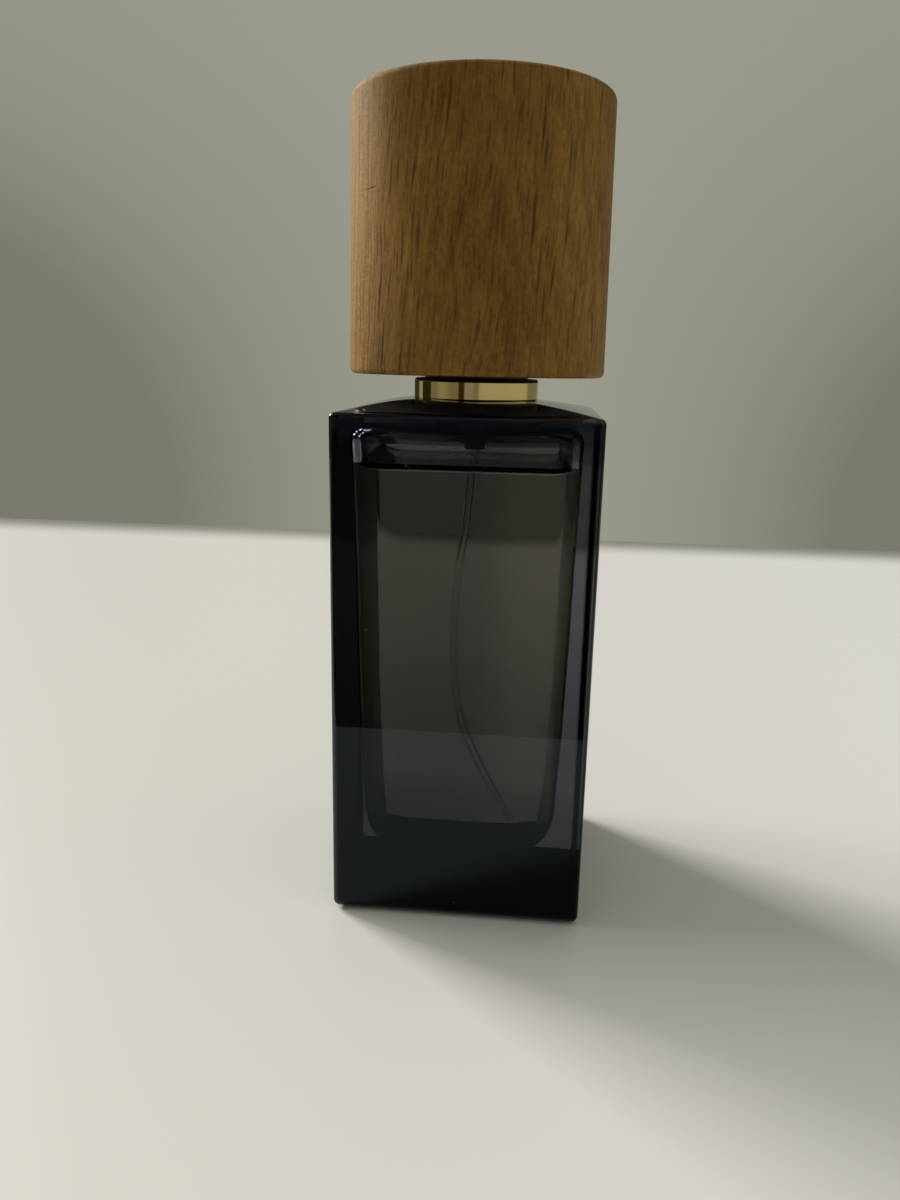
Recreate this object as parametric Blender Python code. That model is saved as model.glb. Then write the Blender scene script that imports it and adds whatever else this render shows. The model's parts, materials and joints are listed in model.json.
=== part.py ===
"""Square glass aftershave bottle with a crimp-on spray pump, gold collar and turned oak cap.

Metres, +Z up. Origin at the centre of the base. The spray faces -Y.
"""

import math

import bmesh
import bpy
from mathutils import Vector

MM = 0.001

# ---------------------------------------------------------------- driving dimensions (mm)
BODY_HALF = 20.0          # half the width and depth of the square body
BODY_CORNER_R = 0.8       # radius of the upright outer edges
HEEL_R = 1.5              # radius round the base
SHOULDER_Z = 80.25        # height of the shoulder's outer edge
SHOULDER_EDGE_R = 0.9
DOME_Z = 81.68            # height of the domed shoulder beside the collar

NECK_R = 6.2
NECK_TOP_Z = 93.0
BEAD_R = 7.0
BEAD_LOW_Z = 89.0
BORE_R = 4.5

CAVITY_HALF = 16.25       # half width of the inside, part way up
CAVITY_MID_Z = 46.0
CAVITY_LEAN = 0.026       # how much the inside widens per mm upward
CAVITY_CORNER_R = 4.0
CAVITY_FLOOR_Z = 7.0
BOWL_R = 11.0             # sweep between the inside walls and the floor

LIQUID_Z = 71.6
LIQUID_GAP = 0.3

COLLAR_R = 10.02
COLLAR_LOW_Z = 82.0
COLLAR_TOP_Z = 85.15
COLLAR_WALL = 0.4
COLLAR_EDGE_R = 0.6
SLEEVE_R = 8.3
SLEEVE_WALL = 0.5
SLEEVE_TOP_Z = 97.4

FERRULE_R = 7.55
FERRULE_WALL = 0.35
FERRULE_TOP_Z = 95.35

STEM_R = 1.5
STEM_TOP_Z = 105.0
STEM_BORE_R = 0.6
STROKE = 4.0              # travel of the spray button
PISTON_SLIP = 0.4         # travel of the piston on the stem
CYLINDER_R = 2.6          # bore the piston runs in

BALL_R = 0.95
BALL_Z = 76.86
BALL_LIFT = 0.5

TAIL_R = 1.65
TAIL_LOW_Z = 73.7

TUBE_R = 0.65
TUBE_BORE_R = 0.4

BUTTON_R = 6.7
BUTTON_LOW_Z = 99.8
BUTTON_TOP_Z = 110.8
NOZZLE_Z = 106.4
NOZZLE_R = 1.8

CAP_LOW_R = 20.25         # the cap tapers slightly towards its top
CAP_TOP_R = 19.92
CAP_LOW_Z = 85.6
CAP_TOP_Z = 126.3
CAP_TOP_EDGE_R = 1.0
CAP_LOW_EDGE_R = 0.8
LINER_R = 10.1
LINER_BORE_R = 8.6
LINER_CEILING_Z = 116.2
LINER_TOP_Z = 117.6

FIT = 0.3                 # gap left between pieces that meet


# ---------------------------------------------------------------- scene and materials
for old in list(bpy.data.objects):
    bpy.data.objects.remove(old, do_unlink=True)


def principled(name, colour, roughness, metallic=0.0, transmission=0.0):
    mat = bpy.data.materials.new(name)
    mat.use_nodes = True
    shader = mat.node_tree.nodes["Principled BSDF"]
    shader.inputs["Base Color"].default_value = (*colour, 1.0)
    shader.inputs["Roughness"].default_value = roughness
    shader.inputs["Metallic"].default_value = metallic
    shader.inputs["Transmission Weight"].default_value = transmission
    mat.diffuse_color = (*colour, 1.0)
    return mat


def empty(name, z=0.0, parent=None):
    ob = bpy.data.objects.new(name, None)
    ob.empty_display_size = 0.01
    bpy.context.collection.objects.link(ob)
    ob.location = (0.0, 0.0, z * MM)
    if parent is not None:
        ob.parent = parent
    return ob


def finish(name, bm, material, parent, sharp_deg=35.0):
    """Closes a mesh's normals outward and puts it in the scene as one piece."""
    bmesh.ops.remove_doubles(bm, verts=bm.verts, dist=1e-7)
    bmesh.ops.recalc_face_normals(bm, faces=bm.faces)
    if bm.calc_volume(signed=True) < 0:
        bmesh.ops.reverse_faces(bm, faces=bm.faces)
    mesh = bpy.data.meshes.new(name)
    bm.to_mesh(mesh)
    bm.free()
    mesh.shade_smooth()
    mesh.set_sharp_from_angle(angle=math.radians(sharp_deg))
    ob = bpy.data.objects.new(name, mesh)
    bpy.context.collection.objects.link(ob)
    if material is not None:
        mesh.materials.append(material)
    if parent is not None:
        ob.parent = parent
    return ob


# ---------------------------------------------------------------- shape makers
def turned(profile, segments):
    """A closed (radius, height) outline in mm, turned about Z. Points on the axis become poles."""
    bm = bmesh.new()
    rows = []
    for r, z in profile:
        if r < 1e-6:
            rows.append([bm.verts.new((0.0, 0.0, z * MM))])
            continue
        rows.append([
            bm.verts.new((
                r * MM * math.cos(2 * math.pi * k / segments),
                r * MM * math.sin(2 * math.pi * k / segments),
                z * MM,
            ))
            for k in range(segments)
        ])
    for a, b in zip(rows, rows[1:] + rows[:1]):
        if len(a) == 1 and len(b) == 1:
            continue
        for k in range(segments):
            n = (k + 1) % segments
            if len(a) == 1:
                bm.faces.new((a[0], b[k], b[n]))
            elif len(b) == 1:
                bm.faces.new((a[k], a[n], b[0]))
            else:
                bm.faces.new((a[k], a[n], b[n], b[k]))
    return bm


def arc(cr, cz, radius, start_deg, end_deg, steps):
    """Points on an arc in the (radius, height) plane. 0 degrees points outward, 90 up."""
    pts = []
    for k in range(steps + 1):
        a = math.radians(start_deg + (end_deg - start_deg) * k / steps)
        pts.append((cr + radius * math.cos(a), cz + radius * math.sin(a)))
    return pts


def square_ring(half, corner, z, per_corner):
    """A square with rounded corners, or a circle where corner equals half, at height z in mm."""
    corner = min(corner, half)
    pts = []
    for quarter in range(4):
        sx, sy = ((1, 1), (-1, 1), (-1, -1), (1, -1))[quarter]
        for k in range(per_corner):
            a = math.radians(90.0 * quarter + 90.0 * (k + 0.5) / per_corner)
            pts.append(Vector((
                (sx * (half - corner) + corner * math.cos(a)) * MM,
                (sy * (half - corner) + corner * math.sin(a)) * MM,
                z * MM,
            )))
    return pts


def lofted(rings):
    """Rings of equal count joined in order, with a flat cap on the first and the last."""
    bm = bmesh.new()
    rows = [[bm.verts.new(p) for p in ring] for ring in rings]
    count = len(rows[0])
    for a, b in zip(rows, rows[1:]):
        for k in range(count):
            n = (k + 1) % count
            bm.faces.new((a[k], a[n], b[n], b[k]))
    bm.faces.new(rows[0])
    bm.faces.new(rows[-1])
    return bm


def smooth_path(knots, per_span):
    """A Catmull-Rom curve through the knots."""
    pts = [Vector(p) for p in knots]
    pts = [2 * pts[0] - pts[1]] + pts + [2 * pts[-1] - pts[-2]]
    out = []
    for i in range(1, len(pts) - 2):
        p0, p1, p2, p3 = pts[i - 1:i + 3]
        for k in range(per_span):
            t = k / per_span
            out.append(0.5 * (
                2 * p1 + (p2 - p0) * t
                + (2 * p0 - 5 * p1 + 4 * p2 - p3) * t * t
                + (3 * p1 - p0 - 3 * p2 + p3) * t ** 3
            ))
    out.append(pts[-2])
    return out


def swept_rings(path, radius, sides):
    """Circles of one radius square to a path that lies near the XZ plane."""
    rings = []
    for i, p in enumerate(path):
        t = (path[min(i + 1, len(path) - 1)] - path[max(i - 1, 0)]).normalized()
        side = Vector((0.0, 1.0, 0.0))
        normal = side.cross(t).normalized()
        side = t.cross(normal).normalized()
        rings.append([
            p + radius * (math.cos(2 * math.pi * k / sides) * normal
                          + math.sin(2 * math.pi * k / sides) * side)
            for k in range(sides)
        ])
    return rings


def pipe(path, radius, bore, sides):
    """An open-ended tube along a path."""
    bm = bmesh.new()
    outer = [[bm.verts.new(p) for p in r] for r in swept_rings(path, radius, sides)]
    inner = [[bm.verts.new(p) for p in r] for r in swept_rings(path, bore, sides)]
    rows = outer + inner[::-1]
    for a, b in zip(rows, rows[1:] + rows[:1]):
        for k in range(sides):
            n = (k + 1) % sides
            bm.faces.new((a[k], a[n], b[n], b[k]))
    return bm


def coil(mean_r, wire_r, low_z, high_z, turns, per_turn, sides):
    """A compression spring with closed end turns, in mm."""
    close = 2 * wire_r + 0.05
    dead = 0.8
    rise = (high_z - low_z - 2 * wire_r - 2 * dead * close) / (turns - 2 * dead)

    def height(t):
        if t < dead:
            return close * t
        if t > turns - dead:
            return close * dead + rise * (turns - 2 * dead) + close * (t - turns + dead)
        return close * dead + rise * (t - dead)

    bm = bmesh.new()
    rows = []
    steps = int(turns * per_turn)
    for i in range(steps + 1):
        t = turns * i / steps
        a = 2 * math.pi * t
        radial = Vector((math.cos(a), math.sin(a), 0.0))
        up = Vector((0.0, 0.0, 1.0))
        centre = radial * mean_r + up * (low_z + wire_r + height(t))
        rows.append([
            bm.verts.new((centre + wire_r * (math.cos(2 * math.pi * k / sides) * radial
                                             + math.sin(2 * math.pi * k / sides) * up)) * MM)
            for k in range(sides)
        ])
    for a, b in zip(rows, rows[1:]):
        for k in range(sides):
            n = (k + 1) % sides
            bm.faces.new((a[k], a[n], b[n], b[k]))
    bm.faces.new(rows[0])
    bm.faces.new(rows[-1])
    return bm


def cutter(name, bm, parent=None):
    ob = finish(name, bm, None, parent)
    ob.hide_render = True
    ob.display_type = "WIRE"
    return ob


def cut(ob, tool):
    mod = ob.modifiers.new(tool.name, "BOOLEAN")
    mod.operation = "DIFFERENCE"
    mod.solver = "EXACT"
    mod.object = tool


def rod_along_y(radius, y0, y1, z, segments):
    """A plain round bar along Y, in mm."""
    bm = bmesh.new()
    ends = [
        [bm.verts.new((radius * MM * math.cos(2 * math.pi * k / segments), y * MM,
                       (z + radius * math.sin(2 * math.pi * k / segments)) * MM))
         for k in range(segments)]
        for y in (y0, y1)
    ]
    for k in range(segments):
        n = (k + 1) % segments
        bm.faces.new((ends[0][k], ends[0][n], ends[1][n], ends[1][k]))
    bm.faces.new(ends[0])
    bm.faces.new(ends[1])
    return bm


# ---------------------------------------------------------------- the bodies' carriers
bottle = empty("bottle_carrier")
cap = empty("cap_carrier", parent=bottle)
stem = empty("stem_carrier", parent=bottle)
button = empty("button_carrier", parent=stem)
slider = empty("piston_carrier", parent=stem)
valve = empty("valve_carrier", parent=bottle)

GLASS = principled("smoked_glass", (0.02, 0.022, 0.026), 0.04, transmission=0.6)
LIQUID = principled("aftershave", (0.62, 0.55, 0.36), 0.02, transmission=0.9)
CLEAR = principled("clear_tube", (0.75, 0.77, 0.75), 0.2, transmission=0.7)
NATURAL = principled("natural_plastic", (0.78, 0.78, 0.74), 0.45)
WHITE = principled("white_acetal", (0.86, 0.86, 0.84), 0.4)
GREY_RUBBER = principled("grey_rubber", (0.23, 0.23, 0.23), 0.8)
STEEL = principled("spring_steel", (0.62, 0.61, 0.58), 0.3, 1.0)
ALUMINIUM = principled("ferrule_aluminium", (0.80, 0.78, 0.72), 0.3, 1.0)
GOLD = principled("polished_gold", (0.83, 0.66, 0.33), 0.08, 1.0)
BLACK = principled("black_plastic", (0.012, 0.012, 0.013), 0.35)
OAK = principled("oak", (0.30, 0.18, 0.07), 0.55)

# ---------------------------------------------------------------- bottle
PER_CORNER = 6


def cavity_rings(inset, low_z, top_z):
    """Inside wall from a height down to the floor, moved inward by inset."""
    sections = []
    wall = [(top_z, 0.0)] + [(z, 0.0) for z in (60.0, 46.0, 32.0) if z < top_z]
    for z, _ in wall:
        lean = CAVITY_LEAN * (z - CAVITY_MID_Z)
        sections.append((CAVITY_HALF + lean - inset, CAVITY_CORNER_R - inset, z))
    centre_z = low_z + BOWL_R
    centre_h = CAVITY_HALF + CAVITY_LEAN * (centre_z - CAVITY_MID_Z) - BOWL_R
    for k in range(8):
        a = math.radians(8.0 + 82.0 * k / 7)
        half = centre_h + (BOWL_R - inset) * math.cos(a)
        z = centre_z - (BOWL_R - inset) * math.sin(a)
        share = (half - centre_h) / BOWL_R
        sections.append((half, (CAVITY_CORNER_R - inset) * (0.75 + 0.25 * share), z))
    return [square_ring(h, c, z, PER_CORNER) for h, c, z in sections]


outside = []
for k in range(4):
    a = math.radians(90.0 * k / 3)
    half = BODY_HALF - HEEL_R * (1 - math.sin(a))
    outside.append((half, BODY_CORNER_R * (0.6 + 0.4 * math.sin(a)), HEEL_R * (1 - math.cos(a))))
for k in range(4):
    a = math.radians(84.0 * k / 3)
    half = BODY_HALF - SHOULDER_EDGE_R * (1 - math.cos(a))
    z = SHOULDER_Z - SHOULDER_EDGE_R * (1 - math.sin(a))
    outside.append((half, BODY_CORNER_R, z))
outside += [
    (15.5, 3.2, SHOULDER_Z + 0.75),
    (11.0, 7.5, DOME_Z - 0.04),
    (NECK_R + 0.9, NECK_R + 0.9, DOME_Z + 0.06),
    (NECK_R + 0.2, NECK_R + 0.2, DOME_Z + 0.4),
    (NECK_R, NECK_R, DOME_Z + 1.0),
    (NECK_R, NECK_R, BEAD_LOW_Z),
    (BEAD_R, BEAD_R, BEAD_LOW_Z + 0.8),
    (BEAD_R, BEAD_R, NECK_TOP_Z - 0.5),
    (BEAD_R - 0.5, BEAD_R - 0.5, NECK_TOP_Z),
    (BORE_R + 0.35, BORE_R + 0.35, NECK_TOP_Z),
    (BORE_R, BORE_R, NECK_TOP_Z - 0.35),
    (BORE_R, BORE_R, 80.9),
    (BORE_R + 0.5, BORE_R + 0.5, 79.8),
    (BORE_R + 1.7, BORE_R + 1.7, 79.15),
    (10.2, 7.0, 78.9),
    (14.1, 5.2, 78.4),
    (15.9, 4.5, 77.6),
    (16.8, 4.2, 76.4),
    (17.05, 4.0, 74.8),
]
glass_rings = [square_ring(h, c, z, PER_CORNER) for h, c, z in outside]
glass_rings += cavity_rings(0.0, CAVITY_FLOOR_Z, 72.0)
finish("glass_bottle", lofted(glass_rings), GLASS, bottle)

# ---------------------------------------------------------------- dip tube and liquid
TUBE_KNOTS = [
    (0.0, 0.0, 75.1), (0.05, 0.0, 72.6), (-0.7, 0.0, 62.8), (-1.7, 0.0, 54.5),
    (-2.25, 0.0, 46.0), (-1.95, 0.0, 35.6), (-0.4, 0.0, 28.0), (2.4, 0.0, 21.3),
    (5.5, 0.0, 15.6), (8.2, 0.0, 11.2),
]
tube_path = [p * MM for p in smooth_path(TUBE_KNOTS, 3)]
finish("dip_tube", pipe(tube_path, TUBE_R * MM, TUBE_BORE_R * MM, 8), CLEAR, bottle)

liquid = finish("aftershave_liquid", lofted(cavity_rings(LIQUID_GAP, CAVITY_FLOOR_Z, LIQUID_Z)),
                LIQUID, bottle)
tip = (tube_path[-1] - tube_path[-2]).normalized()
channel_path = tube_path[1:] + [tube_path[-1] + tip * 0.4 * MM]
channel = cutter("dip_tube_channel",
                 lofted(swept_rings(channel_path, (TUBE_R + FIT) * MM, 8)), bottle)
cut(liquid, channel)

# ---------------------------------------------------------------- pump
finish("pump_housing", turned([
    (6.9, 93.98), (6.9, 94.8), (4.65, 94.8), (4.65, 94.4), (3.0, 94.4), (3.0, 91.8),
    (CYLINDER_R, 91.8), (CYLINDER_R, 82.4), (2.3, 82.1), (2.3, 79.0), (0.7, 79.0),
    (0.7, 78.4), (1.3, 78.4), (1.3, 76.6), (0.6, 75.9), (0.45, 75.75), (0.45, 75.4),
    (TUBE_R + 0.2, 75.4), (TUBE_R + 0.2, TAIL_LOW_Z), (TAIL_R - 0.25, TAIL_LOW_Z),
    (TAIL_R, TAIL_LOW_Z + 0.25), (TAIL_R, 76.0), (2.05, 76.3), (2.05, 77.6), (3.1, 78.6),
    (3.1, 81.4), (3.8, 82.0), (3.8, 93.98),
], 24), NATURAL, bottle)

finish("check_ball", turned(
    [(0.0, BALL_Z - BALL_R)] + arc(0.0, BALL_Z, BALL_R, -70, 70, 6) + [(0.0, BALL_Z + BALL_R)],
    14), STEEL, valve)

finish("main_spring", coil(1.72, 0.2, 79.15, 85.62, 6.0, 12, 6), STEEL, bottle)

pump_stem = finish("pump_stem", turned([
    (STEM_BORE_R, STEM_TOP_Z), (STEM_BORE_R, 86.95), (0.0, 86.95), (0.0, 85.3), (1.0, 85.3),
    (1.0, 85.8), (1.7, 85.8), (1.7, 86.3), (1.4, 86.55), (1.15, 86.55), (1.15, 90.9),
    (2.3, 90.9), (2.3, 91.65), (STEM_R, 91.65), (STEM_R, STEM_TOP_Z - 0.25),
    (STEM_R - 0.2, STEM_TOP_Z),
], 20), WHITE, stem)
stem_port = cutter("stem_port", rod_along_y(0.25, -2.2, 2.2, 87.25, 10), stem)
cut(pump_stem, stem_port)

finish("piston", turned([
    (1.3, 88.5), (1.3, 86.9), (1.45, 86.75), (1.95, 86.75), (2.1, 87.15), (2.3, 86.75),
    (2.45, 86.8), (2.4, 87.4), (2.2, 87.75), (2.4, 88.1), (2.45, 88.7), (2.3, 88.75),
    (2.05, 88.4), (1.6, 88.75), (1.4, 88.75),
], 20), NATURAL, slider)

finish("precompression_spring", coil(1.75, 0.13, 88.95, 90.7, 3.5, 12, 6), STEEL, stem)

finish("stem_seal", turned([(1.65, 92.45), (1.65, 91.95), (2.85, 91.95), (2.85, 92.45)], 20),
       GREY_RUBBER, bottle)

finish("pump_turret", turned([
    (1.7, 96.5), (1.7, 92.6), (2.8, 92.6), (2.8, 94.5), (4.4, 94.5), (4.4, 94.8),
    (3.4, 94.8), (3.4, 96.3), (2.9, 96.8), (2.0, 96.8),
], 24), WHITE, bottle)

finish("neck_gasket", turned([(4.75, 93.85), (4.75, 93.15), (6.85, 93.15), (6.85, 93.85)], 28),
       GREY_RUBBER, bottle)

finish("crimp_ferrule", turned([
    (FERRULE_R - FERRULE_WALL, 94.95), (FERRULE_R - FERRULE_WALL, 89.65), (6.62, 89.0),
    (6.55, 88.65), (6.75, 88.4), (7.1, 88.55), (FERRULE_R, 89.3),
    (FERRULE_R, FERRULE_TOP_Z - 0.4), (FERRULE_R - 0.4, FERRULE_TOP_Z), (3.75, FERRULE_TOP_Z),
    (3.75, 94.95),
], 32), ALUMINIUM, bottle)

# ---------------------------------------------------------------- collar
SLEEVE_IN = SLEEVE_R - SLEEVE_WALL
finish("collar_sleeve", turned([
    (SLEEVE_IN, SLEEVE_TOP_Z), (SLEEVE_IN, 88.1), (7.35, 87.8), (7.35, 87.3), (SLEEVE_IN, 87.0),
    (SLEEVE_IN, 82.25), (9.2, 82.25), (9.38, 82.45), (9.38, 83.6), (9.2, 83.8),
    (SLEEVE_R, 83.8), (SLEEVE_R, SLEEVE_TOP_Z - 0.3), (SLEEVE_R - 0.25, SLEEVE_TOP_Z),
], 36), BLACK, bottle)

COLLAR_IN = COLLAR_R - COLLAR_WALL
finish("collar_shell", turned(
    [(SLEEVE_R + FIT, COLLAR_TOP_Z), (SLEEVE_R + FIT, COLLAR_TOP_Z - 0.45),
     (COLLAR_IN - 0.25, COLLAR_TOP_Z - 0.45), (COLLAR_IN, COLLAR_TOP_Z - 0.7),
     (COLLAR_IN, COLLAR_LOW_Z), (COLLAR_R - 0.1, COLLAR_LOW_Z), (COLLAR_R, COLLAR_LOW_Z + 0.1)]
    + arc(COLLAR_R - COLLAR_EDGE_R, COLLAR_TOP_Z - COLLAR_EDGE_R, COLLAR_EDGE_R, 0, 90, 4),
    44), GOLD, bottle)

# ---------------------------------------------------------------- spray button
actuator_core = finish("actuator_core", turned([
    (0.5, 106.4), (0.5, 105.3), (STEM_R + 0.2, 105.3), (STEM_R + 0.2, 101.4), (1.9, 101.2),
    (2.9, 101.2), (2.9, 103.8), (4.9, 103.8), (4.9, 100.2), (6.0, 100.2), (6.0, 110.0),
    (0.0, 110.0), (0.0, 106.4),
], 28), BLACK, button)
pocket = cutter("nozzle_pocket", rod_along_y(NOZZLE_R + 0.2, -7.5, -3.6, NOZZLE_Z, 16), button)
cut(actuator_core, pocket)
feed = cutter("nozzle_feed", rod_along_y(0.35, -3.9, 0.1, NOZZLE_Z - 0.6, 10), button)
cut(actuator_core, feed)

actuator_shell = finish("actuator_shell", turned(
    [(0.0, BUTTON_TOP_Z - 0.25), (0.0, BUTTON_TOP_Z - 0.6), (BUTTON_R - 0.4, BUTTON_TOP_Z - 0.5),
     (BUTTON_R - 0.4, BUTTON_LOW_Z), (BUTTON_R - 0.08, BUTTON_LOW_Z),
     (BUTTON_R, BUTTON_LOW_Z + 0.08)]
    + arc(BUTTON_R - 0.6, BUTTON_TOP_Z - 0.6, 0.6, 0, 90, 3)
    + [(4.0, BUTTON_TOP_Z - 0.08)],
    36), GOLD, button)
window = cutter("nozzle_window", rod_along_y(NOZZLE_R + 0.35, -8.0, -4.0, NOZZLE_Z, 18), button)
cut(actuator_shell, window)

nozzle = finish("nozzle_insert", turned([
    (0.2, 6.25), (0.2, 5.3), (0.8, 5.0), (0.8, 3.95), (NOZZLE_R - 0.15, 3.95), (NOZZLE_R, 4.1),
    (NOZZLE_R, 6.2), (NOZZLE_R - 0.2, 6.4), (1.1, 6.4), (0.7, 6.1), (0.45, 6.1), (0.3, 6.25),
], 16), BLACK, button)
nozzle.rotation_euler = (math.radians(90.0), 0.0, 0.0)
nozzle.location = (0.0, 0.0, NOZZLE_Z * MM)

# ---------------------------------------------------------------- cap
finish("cap_wood_shell", turned(
    [(0.0, LINER_TOP_Z + 0.4), (LINER_R + FIT, LINER_TOP_Z + 0.4),
     (LINER_R + FIT, CAP_LOW_Z + 0.4), (LINER_R + FIT + 0.4, CAP_LOW_Z)]
    + arc(CAP_LOW_R - CAP_LOW_EDGE_R, CAP_LOW_Z + CAP_LOW_EDGE_R, CAP_LOW_EDGE_R, -90, 0, 3)
    + arc(CAP_TOP_R - CAP_TOP_EDGE_R, CAP_TOP_Z - CAP_TOP_EDGE_R, CAP_TOP_EDGE_R, 0, 90, 5)
    + [(0.0, CAP_TOP_Z)],
    56), OAK, cap)

finish("cap_liner", turned([
    (0.0, LINER_CEILING_Z), (LINER_BORE_R - 0.6, LINER_CEILING_Z),
    (LINER_BORE_R, LINER_CEILING_Z - 0.6), (LINER_BORE_R, CAP_LOW_Z + 0.9),
    (LINER_BORE_R + 0.4, CAP_LOW_Z + 0.3), (LINER_R, CAP_LOW_Z + 0.3),
    (LINER_R, LINER_TOP_Z - 0.5), (LINER_R - 0.5, LINER_TOP_Z), (0.0, LINER_TOP_Z),
], 40), BLACK, cap)
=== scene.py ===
"""Looks of a square lacquered-glass aftershave bottle: spray pump, gold collar and turned oak cap.

Metres, +Z up, front face towards -Y. Lengths below are in millimetres and become metres at the mesh.
"""

import json
import math

import bmesh
import bpy
from mathutils import Matrix, Vector

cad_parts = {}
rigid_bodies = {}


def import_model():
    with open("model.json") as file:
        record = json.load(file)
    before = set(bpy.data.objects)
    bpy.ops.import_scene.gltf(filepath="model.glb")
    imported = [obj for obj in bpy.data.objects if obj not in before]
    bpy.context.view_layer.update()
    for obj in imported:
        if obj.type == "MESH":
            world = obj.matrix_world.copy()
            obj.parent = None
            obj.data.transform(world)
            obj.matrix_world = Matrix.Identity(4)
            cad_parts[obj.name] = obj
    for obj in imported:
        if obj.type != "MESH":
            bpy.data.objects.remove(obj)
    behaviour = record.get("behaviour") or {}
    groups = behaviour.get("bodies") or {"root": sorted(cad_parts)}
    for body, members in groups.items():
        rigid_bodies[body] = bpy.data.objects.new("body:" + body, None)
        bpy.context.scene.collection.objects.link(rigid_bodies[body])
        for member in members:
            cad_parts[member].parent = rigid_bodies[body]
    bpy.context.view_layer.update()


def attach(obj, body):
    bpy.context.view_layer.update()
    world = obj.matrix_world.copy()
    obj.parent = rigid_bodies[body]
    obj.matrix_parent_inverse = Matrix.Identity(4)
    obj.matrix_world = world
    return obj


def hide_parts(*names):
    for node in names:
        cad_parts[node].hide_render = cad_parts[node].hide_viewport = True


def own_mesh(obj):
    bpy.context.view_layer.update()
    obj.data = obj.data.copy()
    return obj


MM = 0.001

for old in list(bpy.data.objects):
    bpy.data.objects.remove(old, do_unlink=True)

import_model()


# ================================================================ node helpers
def new_material(name):
    mat = bpy.data.materials.new(name)
    mat.use_nodes = True
    tree = mat.node_tree
    return mat, tree, tree.nodes["Principled BSDF"], tree.nodes["Material Output"]


def add(tree, kind, inputs=None, **props):
    """A node with its properties and inputs set. An input given as a socket is linked."""
    n = tree.nodes.new(kind)
    for key, value in props.items():
        setattr(n, key, value)
    for key, value in (inputs or {}).items():
        wire(tree, value, n.inputs[key])
    return n


def wire(tree, value, socket):
    if isinstance(value, bpy.types.NodeSocket):
        tree.links.new(value, socket)
    else:
        socket.default_value = value


def calc(tree, operation, a, b=None, c=None, clamp=False):
    n = tree.nodes.new("ShaderNodeMath")
    n.operation = operation
    n.use_clamp = clamp
    for i, value in enumerate((a, b, c)):
        if value is not None:
            wire(tree, value, n.inputs[i])
    return n.outputs[0]


def vec(tree, operation, a, b=None, scale=None):
    n = tree.nodes.new("ShaderNodeVectorMath")
    n.operation = operation
    wire(tree, a, n.inputs[0])
    if b is not None:
        wire(tree, b, n.inputs[1])
    if scale is not None:
        wire(tree, scale, n.inputs["Scale"])
    return n.outputs["Value" if operation in ("LENGTH", "DOT_PRODUCT", "DISTANCE") else "Vector"]


def step(tree, value, low, high, to_low=0.0, to_high=1.0):
    """A smooth step of value from low to high, whichever of them is larger."""
    n = add(tree, "ShaderNodeMapRange", interpolation_type="SMOOTHSTEP")
    n.clamp = True
    if low > high:
        low, high, to_low, to_high = high, low, to_high, to_low
    for key, v in (("Value", value), ("From Min", low), ("From Max", high),
                   ("To Min", to_low), ("To Max", to_high)):
        wire(tree, v, n.inputs[key])
    return n.outputs["Result"]


def blend(tree, fac, a, b, kind="MIX"):
    n = tree.nodes.new("ShaderNodeMix")
    n.data_type = "RGBA"
    n.blend_type = kind
    wire(tree, fac, n.inputs[0])
    wire(tree, a if not isinstance(a, tuple) else (*a, 1.0), n.inputs[6])
    wire(tree, b if not isinstance(b, tuple) else (*b, 1.0), n.inputs[7])
    return n.outputs[2]


def noise(tree, vector, scale, detail=2.0, roughness=0.5, distortion=0.0, colour=False):
    n = add(tree, "ShaderNodeTexNoise", {
        "Vector": vector, "Scale": scale, "Detail": detail, "Roughness": roughness,
        "Distortion": distortion})
    return n.outputs["Color" if colour else "Fac"]


def cells(tree, vector, scale, flat=False):
    n = tree.nodes.new("ShaderNodeTexVoronoi")
    n.voronoi_dimensions = "2D" if flat else "3D"
    wire(tree, vector, n.inputs["Vector"])
    wire(tree, scale, n.inputs["Scale"])
    return n


def point(tree, x, y, z=0.0):
    return add(tree, "ShaderNodeCombineXYZ", {"X": x, "Y": y, "Z": z}).outputs[0]


def millimetres(tree):
    co = add(tree, "ShaderNodeTexCoord").outputs["Object"]
    return vec(tree, "SCALE", co, scale=1000.0)


def bump(tree, height, distance, strength=1.0, normal=None):
    inputs = {"Height": height, "Distance": distance, "Strength": strength}
    if normal is not None:
        inputs["Normal"] = normal
    return add(tree, "ShaderNodeBump", inputs).outputs["Normal"]


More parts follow.
